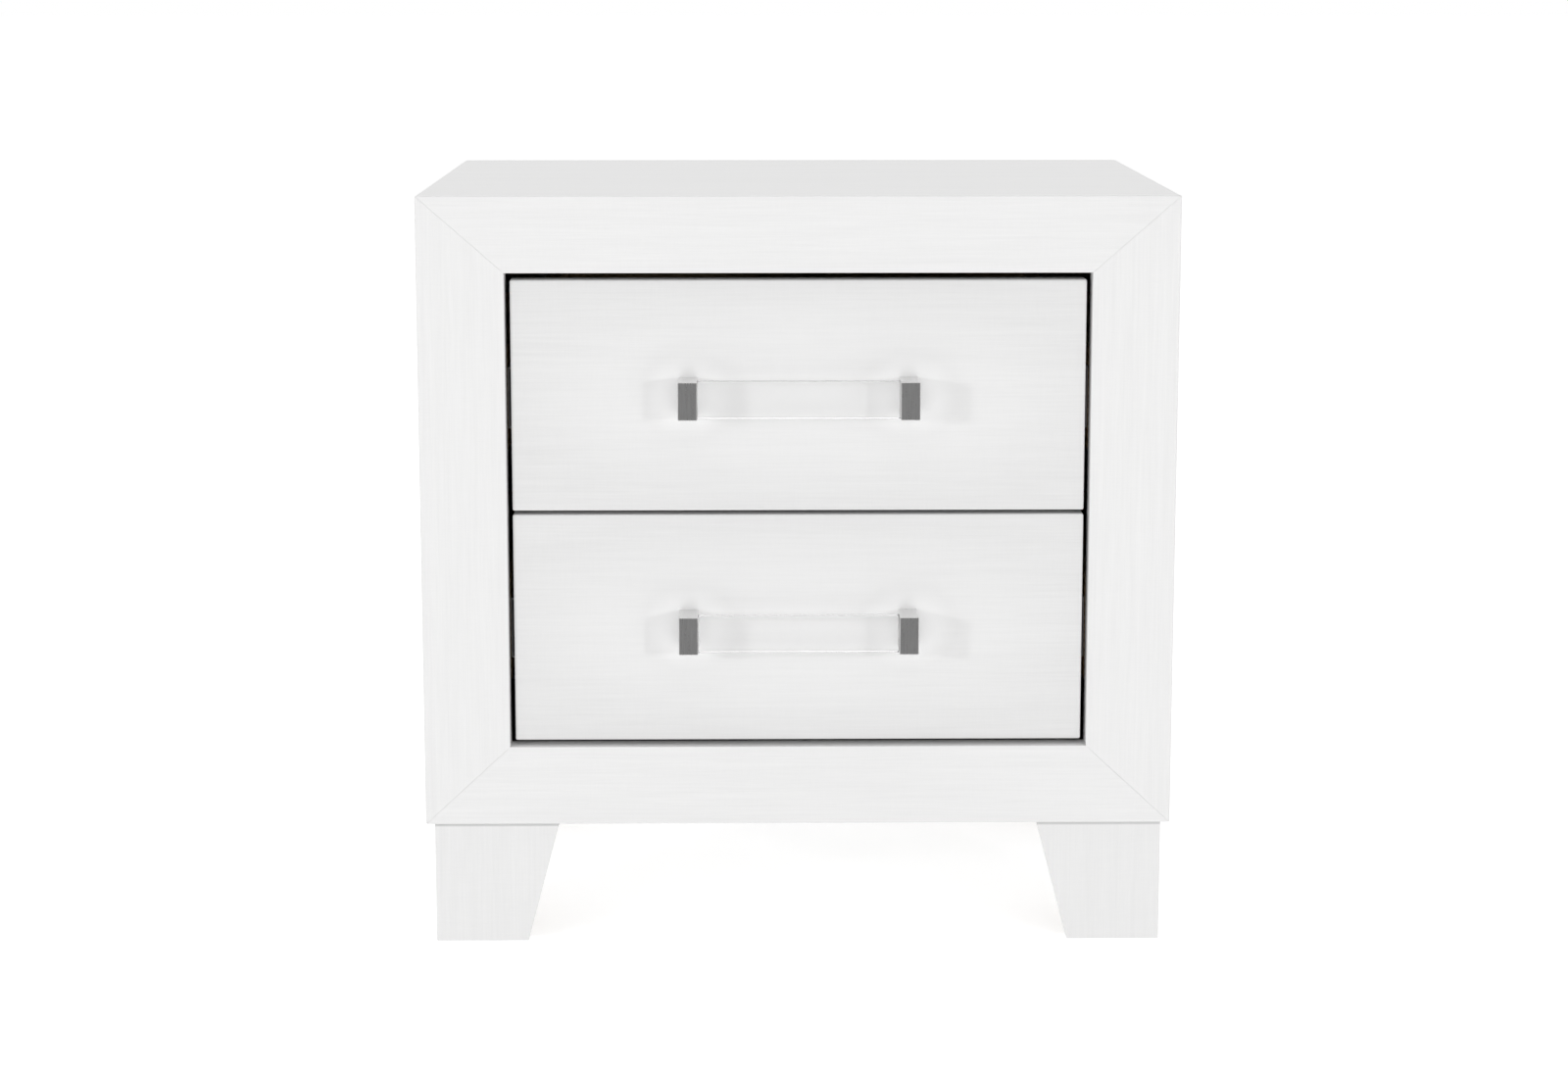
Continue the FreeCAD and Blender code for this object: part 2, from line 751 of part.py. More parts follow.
def make_cages(level):
    """Ball cages between case and middle rails, and between middle and drawer rails."""
    ball = document.addObject("Part::Sphere", f"{level}_ball")
    bind(ball, Radius="ball_radius")
    pocket = document.addObject("Part::Cylinder", f"{level}_ball_pocket")
    bind(pocket, Radius="ball_radius + ball_clearance", Height="2 * cage_thickness")
    for name, half in (("outer", CASE_RAIL_HALF), ("inner", MIDDLE_RAIL_HALF)):
        rise = f"({half} - slide_wall - {BALL_GAP} / 2)"
        strips = []
        pockets = []
        balls = []
        for side in SIDES:
            for sign in (-1, 1):
                height = f"({slide_axis(level)} + {sign} * {rise})"
                strips.append(
                    block(
                        f"{level}_{name}_strip",
                        f"{slide_x(side, CAGE_CENTRE)} - cage_width / 2",
                        CAGE_FRONT,
                        f"{height} - cage_thickness / 2",
                        "cage_width",
                        CAGE_LENGTH,
                        "cage_thickness",
                    )
                )
                for index in range(BALLS_PER_CAGE):
                    y = f"{CAGE_FRONT} + {CAGE_LENGTH} * {2 * index + 1} / {2 * BALLS_PER_CAGE}"
                    x = slide_x(side, CAGE_CENTRE)
                    balls.append((x, y, height))
                    pockets.append((x, y, f"{height} - cage_thickness"))
        label = f"{level}_slide_{name}_cages"
        stock = together(f"{label}_stock", strips)
        drilled = cut(f"{label}_drilled", stock, together(f"{label}_bores", copies(label, pocket, pockets)))
        keep(label, together(label, [drilled] + copies(f"{label}_ball", ball, balls)))


def make_drawer(level):
    """One drawer: show front, box, handle, fixings and the slides' drawer members."""
    bottom = FRONT_BOTTOMS[level]
    middle = f"({bottom} + {FRONT_HEIGHT} / 2)"
    box_bottom = f"({bottom} + box_lower_margin)"
    box_top = f"({box_bottom} + {BOX_HEIGHT})"
    box_face = f"({FRONT_REAR} + box_board_thickness)"
    inner_half = f"({BOX_HALF} - box_board_thickness)"

    handle_screws, handle_holes = screws(
        f"{level}_handle_screws",
        "handle",
        "(box_board_thickness + front_thickness + handle_screw_grip)",
        [(f"{sign} * handle_spacing / 2", box_face, middle) for sign in SIDES.values()],
        TO_FRONT,
    )
    keep(f"{level}_handle_screws", handle_screws)
    front_screws, front_holes = screws(
        f"{level}_front_screws",
        "front",
        "(box_board_thickness + front_screw_grip)",
        [
            (f"{sign} * ({BOX_HALF} - front_screw_inset)", box_face, f"{middle} + {rise}")
            for sign in SIDES.values()
            for rise in ("-front_screw_rise", "front_screw_rise")
        ],
        TO_FRONT,
    )
    keep(f"{level}_front_screws", front_screws)

    front = new_body(f"{level}_front_board")
    outline = rectangle(f"-{FRONT_HALF}", bottom, FRONT_HALF, f"{bottom} + {FRONT_HEIGHT}")
    pad = pad_front(front, [outline], FRONT_FACE, "front_thickness")
    rear = number(FRONT_REAR)
    round_edges(front, pad, lambda edge: not lies_at(edge, "y", rear), "front_edge_round")
    name = f"{level}_drawer_front"
    keep(name, cut(name, front, handle_holes, front_holes))

    # The floor is let into grooves in all four boards of the box.
    reach = f"({inner_half} + groove_depth - groove_clearance)"
    floor_low = f"({box_bottom} + floor_margin)"
    floor_front = f"({box_face} - groove_depth + groove_clearance)"
    floor_back = f"({BOX_BACK} - box_board_thickness + groove_depth - groove_clearance)"
    floor = side_board(
        f"{level}_drawer_floor",
        rectangle(floor_front, floor_low, floor_back, f"{floor_low} + floor_thickness"),
        f"-{reach}",
        f"2 * {reach}",
    )
    keep(f"{level}_drawer_floor", floor)
    groove = block(
        f"{level}_groove",
        f"-{reach} - groove_clearance",
        f"{floor_front} - groove_clearance",
        f"{floor_low} - groove_clearance",
        f"2 * ({reach} + groove_clearance)",
        f"{floor_back} - {floor_front} + 2 * groove_clearance",
        "floor_thickness + 2 * groove_clearance",
    )

    outline = rectangle(f"-{inner_half}", box_bottom, inner_half, box_top)
    board = front_board(f"{level}_box_front_board", outline, FRONT_REAR, "box_board_thickness")
    name = f"{level}_box_front"
    keep(name, cut(name, board, groove, handle_holes, front_holes))
    rear_face = f"({BOX_BACK} - box_board_thickness)"
    board = front_board(f"{level}_box_back_board", outline, rear_face, "box_board_thickness")
    keep(f"{level}_box_back", cut(f"{level}_box_back", board, groove))

    slide_screws = []
    for side, sign in SIDES.items():
        group, holes = screws(
            f"{level}_{side}_drawer_rail_screws",
            "slide",
            "slide_screw_length",
            slide_screw_places(side, "slide_thickness - slide_wall", (level,)),
            TO_LEFT if sign > 0 else TO_RIGHT,
        )
        slide_screws.append(group)
        left = inner_half if sign > 0 else f"-{BOX_HALF}"
        outline = rectangle(FRONT_REAR, box_bottom, BOX_BACK, box_top)
        board = side_board(f"{level}_{side}_board", outline, left, "box_board_thickness")
        name = f"{level}_box_{side}_side"
        keep(name, cut(name, board, groove, holes))
        rail = channel(
            f"{level}_{side}_drawer_channel",
            side,
            level,
            "slide_thickness",
            "slide_thickness - slide_wall",
            DRAWER_TIP,
            DRAWER_RAIL_HALF,
        )
        name = f"{level}_{side}_slide_drawer_rail"
        keep(name, cut(name, rail, holes))
    name = f"{level}_drawer_rail_screws"
    keep(name, together(name, slide_screws))

    make_handle(level, middle, handle_holes)


def make_handle(level, middle, screw_holes):
    """Two solid posts with a clear bar between them, its tenons let into the posts."""
    bar_front = f"({POST_FRONT} + bar_setback)"
    bar_middle = f"({bar_front} + bar_thickness / 2)"
    bar = new_body(f"{level}_handle_bar")
    outline = rectangle(
        f"-{BAR_HALF}", f"{middle} - bar_height / 2", BAR_HALF, f"{middle} + bar_height / 2"
    )
    pad = pad_front(bar, [outline], bar_front, "bar_thickness")
    end = number(BAR_HALF)
    round_edges(
        bar,
        pad,
        lambda edge: not lies_at(edge, "x", end) and not lies_at(edge, "x", -end),
        "bar_edge_round",
    )
    length = f"({BAR_HALF} + tenon_length)"
    outline = rectangle(
        f"-{length}", f"{middle} - tenon_height / 2", length, f"{middle} + tenon_height / 2"
    )
    pad_front(bar, [outline], f"{bar_middle} - tenon_thickness / 2", "tenon_thickness")
    keep(f"{level}_handle_bar", bar)

    socket_reach = f"({length} + tenon_clearance)"
    socket = block(
        f"{level}_handle_socket",
        f"-{socket_reach}",
        f"{bar_middle} - tenon_thickness / 2 - tenon_clearance",
        f"{middle} - tenon_height / 2 - tenon_clearance",
        f"2 * {socket_reach}",
        "tenon_thickness + 2 * tenon_clearance",
        "tenon_height + 2 * tenon_clearance",
    )
    for side, sign in SIDES.items():
        post = new_body(f"{level}_{side}_post_block")
        centre = f"({sign} * handle_spacing / 2)"
        outline = rectangle(
            f"{centre} - post_width / 2",
            f"{middle} - post_height / 2",
            f"{centre} + post_width / 2",
            f"{middle} + post_height / 2",
        )
        pad = pad_front(post, [outline], POST_FRONT, "handle_projection")
        rear = number(FRONT_FACE)
        round_edges(post, pad, lambda edge: not lies_at(edge, "y", rear), "post_edge_round")
        name = f"{level}_handle_{side}_post"
        keep(name, cut(name, post, socket, screw_holes))


make_case_rails(make_case())
make_legs()
for drawer_level in FRONT_BOTTOMS:
    make_drawer(drawer_level)
    make_middle_rails(drawer_level)
    make_cages(drawer_level)
document.recompute()

for item in document.Objects:
    assert "Invalid" not in item.State and "Error" not in item.State, f"{item.Label}: {item.State}"
for part_name, item in parts.items():
    assert not item.Shape.isNull() and item.Shape.isValid() and item.Shape.Solids, part_name

os.makedirs("parts", exist_ok=True)
for part_name, item in parts.items():
    item.Shape.exportStep(f"parts/{part_name}.step")
print(len(parts), "sub-parts")
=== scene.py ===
import math

import bpy
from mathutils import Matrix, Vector


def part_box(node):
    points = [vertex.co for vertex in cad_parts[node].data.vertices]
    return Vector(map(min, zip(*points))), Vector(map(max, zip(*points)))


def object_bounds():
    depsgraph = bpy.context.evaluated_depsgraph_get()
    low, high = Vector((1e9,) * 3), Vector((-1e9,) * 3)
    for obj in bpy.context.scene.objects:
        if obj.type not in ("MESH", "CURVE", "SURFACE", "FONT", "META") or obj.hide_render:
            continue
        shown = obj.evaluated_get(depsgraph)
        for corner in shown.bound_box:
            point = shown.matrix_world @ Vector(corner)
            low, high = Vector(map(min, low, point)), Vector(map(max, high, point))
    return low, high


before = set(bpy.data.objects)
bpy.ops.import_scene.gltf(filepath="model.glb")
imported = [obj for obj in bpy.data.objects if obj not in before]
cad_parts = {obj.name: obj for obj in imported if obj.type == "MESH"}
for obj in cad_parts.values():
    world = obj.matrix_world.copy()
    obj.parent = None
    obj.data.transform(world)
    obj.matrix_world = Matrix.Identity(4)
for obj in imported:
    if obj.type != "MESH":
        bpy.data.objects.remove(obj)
cad_low, cad_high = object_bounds()

# Lengths are metres. The nightstand faces -Y, stands on z = 0 and has +X on its right.

MM = 0.001
CENTRE = (cad_low + cad_high) / 2
LEVELS = ("upper", "lower")
SIDES = ("left", "right")
ENDS = ("front", "back")

# Tones are linear greys, from 0 for black to 1 for white.
FRAME_TONE = 0.832
LEG_TONE = FRAME_TONE - 0.01
# The drawer fronts' laminate is darker than the frame's, and the painted light round the handles
# brightens it again: painted shade towards the fronts' edges.
FRONT_TONE = 0.775
BACK_BOARD_TONE = 0.74
DRAWER_FLOOR_TONE = 0.72

# The legs have a painted shadow line at their top, where the case shades them. It begins
# SHADOW_LINE_LOW below it and is full SHADOW_LINE_FADE higher.
LEG_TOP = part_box("front_left_leg")[1][2]
SHADOW_LINE_LOW, SHADOW_LINE_FADE = 3.5 * MM, 1.0 * MM

FRAME_ARRIS = 0.3 * MM
FRONT_ARRIS = 0.6 * MM
PLY_LAYER = 1.0 * MM

# How bright the floor and the surroundings are, to the camera and as light on the object.
FLOOR_SEEN, FLOOR_LIGHT = 0.42, 0.29
WORLD_SEEN, WORLD_LIGHT = 1.0, 0.662
# What metal sees: dark in front of the object and bright above and behind it.
WORLD_FRONT, WORLD_REAR = 0.247, 1.0

# Name, azimuth and elevation in degrees, distance, size and watts. Azimuth 0 is the front, 90 the
# right side.
LAMPS = (
    ("key_left", -48, 10, 2.6, 0.22, 8.7),
    ("key_right", 37, 7.5, 2.6, 0.22, 7.8),
    ("overhead", 0, 88, 2.8, 2.6, 18.3),
)

SENSOR_WIDTH, FOCAL_LENGTH = 36.0, 69.6
CAMERA_PLACE = (-0.0355, -2.358, 0.7196)
CAMERA_PITCH, CAMERA_YAW = 0.1555, 0.0115
CAMERA_SHIFT = -0.063


# ---------------------------------------------------------------- node helpers


class Graph:
    """A material's node tree, built from its Principled shader backwards."""

    def __init__(self, name):
        self.material = bpy.data.materials.new(name)
        self.material.use_nodes = True
        self.tree = self.material.node_tree
        self.shader = self.tree.nodes["Principled BSDF"]
        self.output = self.tree.nodes["Material Output"]
        self.place = self.new("ShaderNodeTexCoord").outputs["Object"]

    def new(self, kind, **settings):
        node = self.tree.nodes.new(kind)
        for name, value in settings.items():
            setattr(node, name, value)
        return node

    def feed(self, socket, value):
        if isinstance(value, bpy.types.NodeSocket):
            self.tree.links.new(value, socket)
        else:
            socket.default_value = value

    def math(self, operation, first, second=0.0):
        node = self.new("ShaderNodeMath", operation=operation)
        self.feed(node.inputs[0], first)
        self.feed(node.inputs[1], second)
        return node.outputs[0]

    def blend(self, *parts):
        """The sum of values, each times its weight."""
        total = None
        for value, weight in parts:
            share = self.math("MULTIPLY", value, weight)
            total = share if total is None else self.math("ADD", total, share)
        return total

    def vector(self, operation, first, second=(0.0, 0.0, 0.0)):
        node = self.new("ShaderNodeVectorMath", operation=operation)
        self.feed(node.inputs[0], first)
        self.feed(node.inputs[1], second)
        return node.outputs["Value" if operation in ("DOT_PRODUCT", "LENGTH") else "Vector"]

    def noise(self, per_metre, detail=3.0, roughness=0.55, offset=(0.0, 0.0, 0.0)):
        """Noise with its own frequency along each axis."""
        stretched = self.vector("MULTIPLY", self.place, per_metre)
        moved = self.vector("ADD", stretched, offset)
        node = self.new("ShaderNodeTexNoise")
        self.feed(node.inputs["Vector"], moved)
        node.inputs["Scale"].default_value = 1.0
        node.inputs["Detail"].default_value = detail
        node.inputs["Roughness"].default_value = roughness
        return node.outputs[0]

    def spread(self, value, low, high, to_low=0.0, to_high=1.0, smooth=False):
        """Maps low..high to to_low..to_high, and clamps beyond."""
        node = self.new("ShaderNodeMapRange", clamp=True)
        if smooth:
            node.interpolation_type = "SMOOTHSTEP"
        for socket, amount in zip(node.inputs, (value, low, high, to_low, to_high)):
            self.feed(socket, amount)
        return node.outputs[0]

    def mix(self, share, first, second):
        node = self.new("ShaderNodeMix", data_type="RGBA")
        factor, first_colour, second_colour = (node.inputs[index] for index in (0, 6, 7))
        self.feed(factor, share)
        self.feed(first_colour, first)
        self.feed(second_colour, second)
        return node.outputs[2]

    def bump(self, height, depth, strength, normal=None):
        node = self.new("ShaderNodeBump")
        node.inputs["Strength"].default_value = strength
        node.inputs["Distance"].default_value = depth
        self.feed(node.inputs["Height"], height)
        if normal is not None:
            self.feed(node.inputs["Normal"], normal)
        return node.outputs[0]

    def edge(self, radius):
        """0 on flat faces, rising to 1 along arrises, with the normal that rounds them."""
        bevel = self.new("ShaderNodeBevel", samples=6)
        bevel.inputs["Radius"].default_value = radius
        flat = self.new("ShaderNodeNewGeometry").outputs["Normal"]
        along = self.vector("DOT_PRODUCT", bevel.outputs[0], flat)
        return self.spread(along, 0.999, 0.90), bevel.outputs[0]

    def axis(self, name):
        split = self.new("ShaderNodeSeparateXYZ")
        self.feed(split.inputs[0], self.place)
        return split.outputs[name]

    def facing(self, axis):
        """1 on faces that look along the axis, 0 on the others."""
        flat = self.new("ShaderNodeNewGeometry").outputs["Normal"]
        along = self.vector("DOT_PRODUCT", flat, axis)
        return self.spread(self.math("ABSOLUTE", along), 0.6, 0.8)

    def finish(self, **sockets):
        for name, value in sockets.items():
            self.feed(self.shader.inputs[name.replace("_", " ")], value)
        return self.material


def grey(value, warmth=0.0):
    return (value * (1 + warmth), value, value * (1 - warmth), 1.0)


def along_grain(grain, along, across):
    """Frequencies per metre: one along the grain's axis and another across it."""
    return tuple(along if axis == grain else across for axis in "XYZ")


# ---------------------------------------------------------------- materials


def laminate(name, grain, tone, arris=FRAME_ARRIS, painted_light=None, shadow_line_top=None):
    """White laminate printed and pressed like brushed linen, its long threads along the grain.

    halo gives where painted light brightens the board, and seam the height under which a painted
    shadow line darkens it.
    """
    graph = Graph(name)
    fine = graph.noise(along_grain(grain, 45, 1500), detail=2)
    thread = graph.noise(along_grain(grain, 14, 520), detail=3, offset=(3.1, 7.7, 1.9))
    streak = graph.noise(along_grain(grain, 5, 130), detail=3, offset=(9.3, 2.2, 5.4))
    weft = graph.noise(along_grain(grain, 900, 70), detail=2, offset=(4.4, 8.1, 6.2))
    cloud = graph.noise((7, 7, 7), detail=2)
    weave = graph.blend((thread, 0.5), (fine, 0.3), (weft, 0.2))
    shade = graph.blend((graph.spread(weave, 0.34, 0.66), 0.5), (streak, 0.5))
    shade = graph.spread(shade, 0.25, 0.75)
    colour = graph.mix(shade, grey(tone - 0.035, 0.002), grey(tone + 0.012, 0.002))
    clouded = graph.spread(cloud, 0.3, 0.7, 0.0, 0.25)
    colour = graph.mix(clouded, colour, grey(tone - 0.02, 0.001))
    # Painted light: brighter round the handles and most beside their posts.
    if painted_light:
        colour = graph.mix(painted_light(graph), colour, grey(tone + 0.19, 0.001))
    # Painted shadow: a dark line along the top of the legs, under the case.
    if shadow_line_top:
        fade_from = shadow_line_top - SHADOW_LINE_LOW
        near = graph.spread(graph.axis("Z"), fade_from, fade_from + SHADOW_LINE_FADE, 0.0, 0.55)
        colour = graph.mix(near, colour, grey(tone * 0.5, 0.001))
    wear, rounded = graph.edge(arris)
    scuff = graph.spread(graph.noise((60, 60, 60), detail=4), 0.5, 0.72)
    wear = graph.math("MULTIPLY", wear, graph.math("MULTIPLY", scuff, 0.5))
    colour = graph.mix(wear, colour, grey(tone - 0.11, 0.012))
    return graph.finish(
        Base_Color=colour,
        Roughness=graph.spread(weave, 0.3, 0.7, 0.40, 0.52),
        Normal=graph.bump(weave, 0.10 * MM, 0.55, rounded),
        Specular_IOR_Level=0.4,
    )


def handle_painted_light(level):
    """Painted light: the drawer fronts are painted brighter round their handles, and most beside
    the posts, where it lightens the posts' shade.
    """
    low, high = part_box(f"{level}_handle_bar")
    middle = (Vector(low) + Vector(high)) / 2
    post_low, post_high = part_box(f"{level}_handle_right_post")
    post_x = (post_low[0] + post_high[0]) / 2

    def ellipse(half_width, half_height):
        return (1 / half_width, 0.0, 1 / half_height)

    def painted_light(graph):
        from_middle = graph.vector("SUBTRACT", graph.place, tuple(middle))
        wide = graph.vector("MULTIPLY", from_middle, ellipse(0.205, 0.085))
        wide = graph.vector("LENGTH", wide)
        wide = graph.spread(wide, 0.45, 1.15, 0.31, 0.0, smooth=True)
        mirrored = graph.vector("ABSOLUTE", from_middle)
        from_post = graph.vector("SUBTRACT", mirrored, (post_x, 0.0, 0.0))
        near = graph.vector("MULTIPLY", from_post, ellipse(0.036, 0.032))
        near = graph.vector("LENGTH", near)
        near = graph.spread(near, 0.4, 1.05, 0.69, 0.0, smooth=True)
        return graph.math("ADD", wide, near)

    return painted_light


def plywood(name, thickness_axis):
    """Birch plywood: pale long grain on the faces and the layers showing on the edges."""
    graph = Graph(name)
    grain = {"X": "Y", "Y": "X"}[thickness_axis]
    figure = graph.noise(along_grain(grain, 6, 90), detail=5, roughness=0.6)
    vessel = graph.noise(
        along_grain(grain, 12, 460), detail=4, roughness=0.7, offset=(8.4, 2.9, 6.1)
    )
    pores = graph.noise(along_grain(grain, 80, 1800), detail=2, offset=(5.2, 1.3, 8.8))
    share = graph.blend((figure, 0.5), (vessel, 0.35), (pores, 0.15))
    dark_wood, pale_wood = (0.52, 0.36, 0.21, 1), (0.75, 0.60, 0.41, 1)
    face = graph.mix(graph.spread(share, 0.36, 0.64), dark_wood, pale_wood)
    layers = graph.math("MULTIPLY", graph.axis(thickness_axis), math.tau / (2 * PLY_LAYER))
    layer = graph.spread(graph.math("SINE", layers), -0.3, 0.3)
    edge_colour = graph.mix(layer, (0.43, 0.27, 0.14, 1), (0.71, 0.55, 0.36, 1))
    axis = {"X": (1.0, 0.0, 0.0), "Y": (0.0, 1.0, 0.0)}[thickness_axis]
    wear, rounded = graph.edge(0.6 * MM)
    colour = graph.mix(graph.facing(axis), edge_colour, face)
    colour = graph.mix(graph.math("MULTIPLY", wear, 0.3), colour, (0.78, 0.64, 0.46, 1))
    return graph.finish(
        Base_Color=colour,
        Roughness=graph.spread(share, 0.3, 0.7, 0.42, 0.6),
        Normal=graph.bump(share, 0.08 * MM, 0.5, rounded),
        Specular_IOR_Level=0.35,
    )


def hardboard(name, tone):
    """Thin hardboard with one painted face: fine felted speckle and a faint roller texture."""
    graph = Graph(name)
    speckle = graph.noise((700, 700, 700), detail=3)
    roller = graph.noise((120, 120, 120), detail=2, offset=(1.7, 4.2, 3.3))
    speckled = graph.spread(speckle, 0.3, 0.7)
    colour = graph.mix(speckled, grey(tone - 0.05, 0.012), grey(tone + 0.02, 0.008))
    rolled = graph.spread(roller, 0.35, 0.7, 0.0, 0.3)
    colour = graph.mix(rolled, colour, grey(tone - 0.07, 0.015))
    wear, rounded = graph.edge(0.5 * MM)
    colour = graph.mix(graph.math("MULTIPLY", wear, 0.6), colour, (0.42, 0.31, 0.21, 1))
    return graph.finish(
        Base_Color=colour,
        Roughness=graph.spread(roller, 0.3, 0.7, 0.5, 0.62),
        Normal=graph.bump(speckle, 0.06 * MM, 0.6, rounded),
        Specular_IOR_Level=0.3,
    )


def softwood(name):
    """Planed pine: growth bands along Y, darker late wood and fine pores."""
    graph = Graph(name)
    drift = graph.noise((9, 1.2, 9), detail=2)
    bands = graph.blend((graph.axis("Z"), 900.0), (drift, 22.0), (graph.axis("X"), 420.0))
    ring = graph.spread(graph.math("SINE", bands), -0.2, 1.0)
    pores = graph.noise((1200, 50, 1200), detail=2)
    colour = graph.mix(ring, (0.70, 0.50, 0.28, 1), (0.50, 0.30, 0.13, 1))
    pored = graph.spread(pores, 0.4, 0.75, 0.0, 0.35)
    colour = graph.mix(pored, colour, (0.46, 0.29, 0.14, 1))
    wear, rounded = graph.edge(0.8 * MM)
    colour = graph.mix(graph.math("MULTIPLY", wear, 0.3), colour, (0.74, 0.55, 0.33, 1))
    return graph.finish(
        Base_Color=colour,
        Roughness=graph.spread(pores, 0.3, 0.7, 0.5, 0.68),
        Normal=graph.bump(pores, 0.1 * MM, 0.5, rounded),
        Specular_IOR_Level=0.3,
    )


def metal(name, tone, roughness, brush, warmth=0.0, arris=0.5 * MM):
    """Brushed or rolled metal: fine scratches, and cleaner, brighter arrises."""
    graph = Graph(name)
    scratch = graph.noise(brush, detail=3, roughness=0.65)
    blotch = graph.noise((90, 90, 90), detail=3, offset=(2.6, 9.1, 4.7))
    scratched = graph.spread(scratch, 0.3, 0.7)
    colour = graph.mix(scratched, grey(tone * 0.90, warmth), grey(tone * 1.07, warmth))
    blotched = graph.spread(blotch, 0.35, 0.7, 0.0, 0.25)
    colour = graph.mix(blotched, colour, grey(tone * 0.86, warmth))
    wear, rounded = graph.edge(arris)
    polished = grey(min(tone * 1.3, 0.95), warmth)
    colour = graph.mix(graph.math("MULTIPLY", wear, 0.5), colour, polished)
    return graph.finish(
        Base_Color=colour,
        Metallic=1.0,
        Roughness=graph.spread(scratch, 0.3, 0.7, roughness - 0.05, roughness + 0.07),
        Normal=graph.bump(scratch, 0.02 * MM, 0.4, rounded),
    )


def acrylic(name):
    """Clear polished acrylic. Light passes it to other surfaces, less at grazing angles."""
    graph = Graph(name)
    haze = graph.noise((160, 500, 500), detail=3)
    wear, _ = graph.edge(0.35 * MM)
    dull = graph.spread(haze, 0.4, 0.8, 0.0, 0.02)
    graph.finish(
        Base_Color=graph.mix(graph.spread(haze, 0.3, 0.8), grey(1.0), grey(0.985)),
        Roughness=graph.math("ADD", dull, graph.math("MULTIPLY", wear, 0.02)),
        Normal=graph.bump(haze, 0.01 * MM, 0.02),
        IOR=1.49,
        Transmission_Weight=1.0,
    )
    clear = graph.new("ShaderNodeBsdfTransparent")
    facing = graph.new("ShaderNodeLayerWeight").outputs["Facing"]
    graze = graph.spread(facing, 0.5, 0.8)
    graph.feed(clear.inputs["Color"], graph.mix(graze, grey(1.0), grey(0.1)))
    path = graph.new("ShaderNodeLightPath").outputs
    lighting = graph.math("MAXIMUM", path["Is Shadow Ray"], path["Is Diffuse Ray"])
    switch = graph.new("ShaderNodeMixShader")
    graph.feed(switch.inputs[0], lighting)
    graph.feed(switch.inputs[1], graph.shader.outputs[0])
    graph.feed(switch.inputs[2], clear.outputs[0])
    graph.feed(graph.output.inputs[0], switch.outputs[0])
    return graph.material


def dress(names, material):
    for name in names:
        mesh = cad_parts[name].data
        mesh.materials.clear()
        mesh.materials.append(material)


def dress_case():
    across = laminate("laminate_across", "X", FRAME_TONE)
    upright = laminate("laminate_upright", "Z", FRAME_TONE)
    legs = laminate("laminate_legs", "Z", LEG_TONE, shadow_line_top=LEG_TOP)
    dress(["top_panel", "bottom_panel", "top_rail", "bottom_rail"], across)
    dress([f"{side}_{part}" for side in SIDES for part in ("side_panel", "stile")], upright)
    dress([f"{end}_{side}_leg" for end in ENDS for side in SIDES], legs)
    dress(["back_panel"], hardboard("back_board", BACK_BOARD_TONE))


def dress_drawers():
    for level in LEVELS:
        painted_light = handle_painted_light(level)
        front = laminate(f"laminate_{level}_front", "X", FRONT_TONE, FRONT_ARRIS, painted_light)
        dress([f"{level}_drawer_front"], front)
    floor_board = hardboard("floor_board", DRAWER_FLOOR_TONE)
    dress([f"{level}_drawer_floor" for level in LEVELS], floor_board)
    across, along = plywood("plywood_across", "Y"), plywood("plywood_sides", "X")
    dress([f"{level}_box_{end}" for level in LEVELS for end in ENDS], across)
    dress([f"{level}_box_{side}_side" for level in LEVELS for side in SIDES], along)
    nickel = metal(
        "satin_nickel", 0.80, 0.30, (1400, 1400, 60), warmth=0.004, arris=0.6 * MM
    )
    dress([f"{level}_handle_{side}_post" for level in LEVELS for side in SIDES], nickel)
    dress([f"{level}_handle_bar" for level in LEVELS], acrylic("clear_acrylic"))


def dress_slides():
    pine = softwood("pine")
    zinc = metal("rolled_zinc", 0.44, 0.38, (900, 20, 900), warmth=-0.01)
    ball_steel = metal("ball_steel", 0.62, 0.22, (400, 400, 400))
    for level in LEVELS:
        dress([f"{level}_{side}_slide_batten" for side in SIDES], pine)
        rails = [f"{level}_{side}_slide_{end}_rail" for side in SIDES for end in ("case", "drawer")]
        dress(rails + [f"{level}_slide_middle_rails"], zinc)
        dress([f"{level}_slide_{cage}_cages" for cage in ("outer", "inner")], ball_steel)
    dress(["leg_corner_blocks"], pine)


def dress_screws():
    screw_zinc = metal("screw_zinc", 0.52, 0.30, (700, 700, 700), arris=0.25 * MM)
    dress([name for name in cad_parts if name.endswith("_screws")], screw_zinc)


# ---------------------------------------------------------------- studio


def make_floor():
    """A wide pale floor, lit a little from within like a product table."""
    half = 40.0
    corners = [(-half, -half, 0), (half, -half, 0), (half, half, 0), (-half, half, 0)]
    mesh = bpy.data.meshes.new("floor")
    mesh.from_pydata(corners, [], [(0, 1, 2, 3)])
    floor = bpy.data.objects.new("floor", mesh)
    bpy.context.collection.objects.link(floor)
    graph = Graph("pale_floor")
    cloud = graph.noise((2, 2, 2), detail=2)
    seen = graph.new("ShaderNodeLightPath").outputs["Is Camera Ray"]
    mesh.materials.append(
        graph.finish(
            Base_Color=graph.mix(cloud, grey(0.90), grey(0.92)),
            Roughness=0.9,
            Specular_IOR_Level=0.1,
            Emission_Color=(1.0, 1.0, 1.0, 1.0),
            Emission_Strength=graph.spread(seen, 0.0, 1.0, FLOOR_LIGHT, FLOOR_SEEN),
        )
    )
    floor.visible_glossy = False


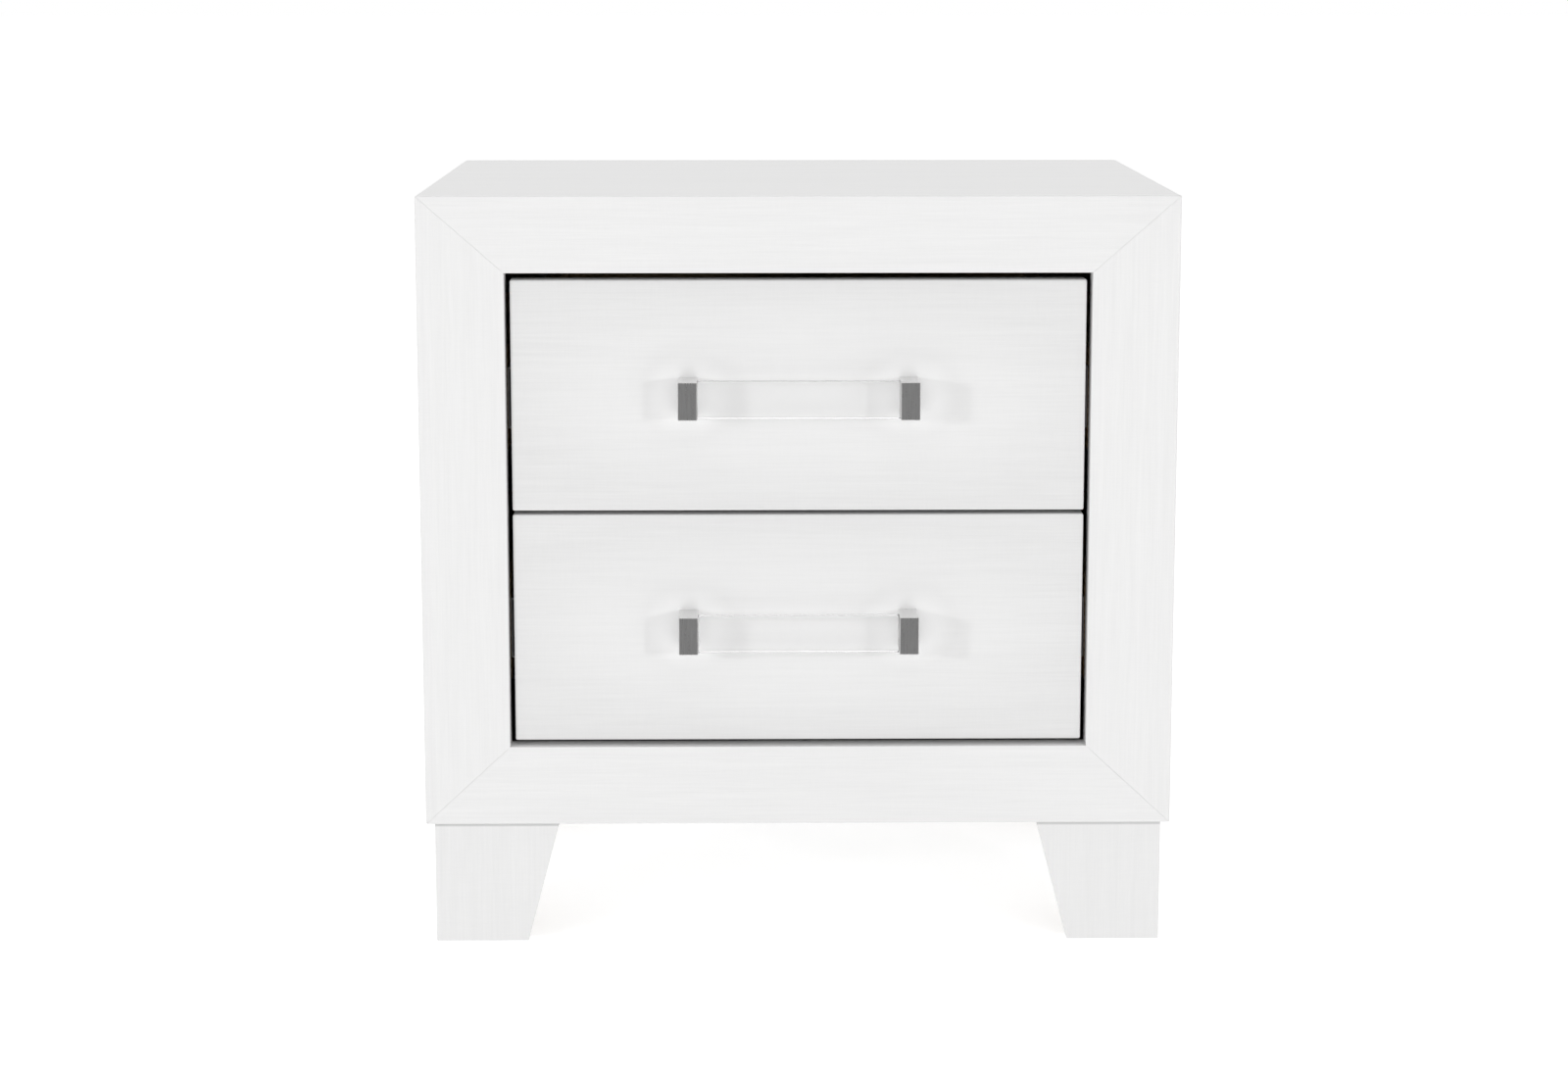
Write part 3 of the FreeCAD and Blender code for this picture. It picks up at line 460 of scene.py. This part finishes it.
def make_world():
    """Even white surroundings, which metal sees darker on the side in front of the object."""
    world = bpy.data.worlds.new("studio")
    bpy.context.scene.world = world
    world.use_nodes = True
    tree = world.node_tree
    nodes, link = tree.nodes, tree.links.new
    nodes.clear()
    direction = nodes.new("ShaderNodeTexCoord")
    split = nodes.new("ShaderNodeSeparateXYZ")
    link(direction.outputs["Generated"], split.inputs[0])
    ramp = nodes.new("ShaderNodeMapRange")
    ramp.interpolation_type = "SMOOTHSTEP"
    link(split.outputs["Y"], ramp.inputs["Value"])
    ramp.inputs["From Min"].default_value = -0.75
    ramp.inputs["From Max"].default_value = 0.05
    ramp.inputs["To Min"].default_value = WORLD_FRONT
    ramp.inputs["To Max"].default_value = WORLD_REAR
    path = nodes.new("ShaderNodeLightPath")
    even = nodes.new("ShaderNodeMix")
    even.inputs["A"].default_value = WORLD_LIGHT
    link(path.outputs["Is Glossy Ray"], even.inputs["Factor"])
    link(ramp.outputs[0], even.inputs["B"])
    seen = nodes.new("ShaderNodeMix")
    seen.inputs["B"].default_value = WORLD_SEEN
    link(path.outputs["Is Camera Ray"], seen.inputs["Factor"])
    link(even.outputs[0], seen.inputs["A"])
    background = nodes.new("ShaderNodeBackground")
    background.inputs["Color"].default_value = (1.0, 1.0, 1.0, 1.0)
    link(seen.outputs[0], background.inputs["Strength"])
    output = nodes.new("ShaderNodeOutputWorld")
    link(background.outputs[0], output.inputs[0])


def make_lamp(name, azimuth, elevation, distance, size, power):
    """A soft square lamp aimed at the middle of the object."""
    lamp = bpy.data.lights.new(name, "AREA")
    lamp.size = size
    lamp.energy = power
    light = bpy.data.objects.new(name, lamp)
    turn, rise = math.radians(azimuth), math.radians(elevation)
    level = math.cos(rise)
    back = Vector((math.sin(turn) * level, -math.cos(turn) * level, math.sin(rise)))
    light.location = CENTRE + back * distance
    light.rotation_euler = back.to_track_quat("Z", "Y").to_euler()
    light.visible_glossy = False
    bpy.context.collection.objects.link(light)


def make_camera():
    """Stands a little left of centre and looks slightly down on the top."""
    lens = bpy.data.cameras.new("camera")
    lens.sensor_width = SENSOR_WIDTH
    lens.lens = FOCAL_LENGTH
    lens.shift_y = CAMERA_SHIFT
    camera = bpy.data.objects.new("camera", lens)
    camera.location = CAMERA_PLACE
    camera.rotation_euler = (math.pi / 2 - CAMERA_PITCH, 0.0, -CAMERA_YAW)
    bpy.context.collection.objects.link(camera)
    bpy.context.scene.camera = camera


dress_case()
dress_drawers()
dress_slides()
dress_screws()
make_floor()
make_world()
for lamp_settings in LAMPS:
    make_lamp(*lamp_settings)
make_camera()
bpy.context.scene.view_settings.view_transform = "Standard"
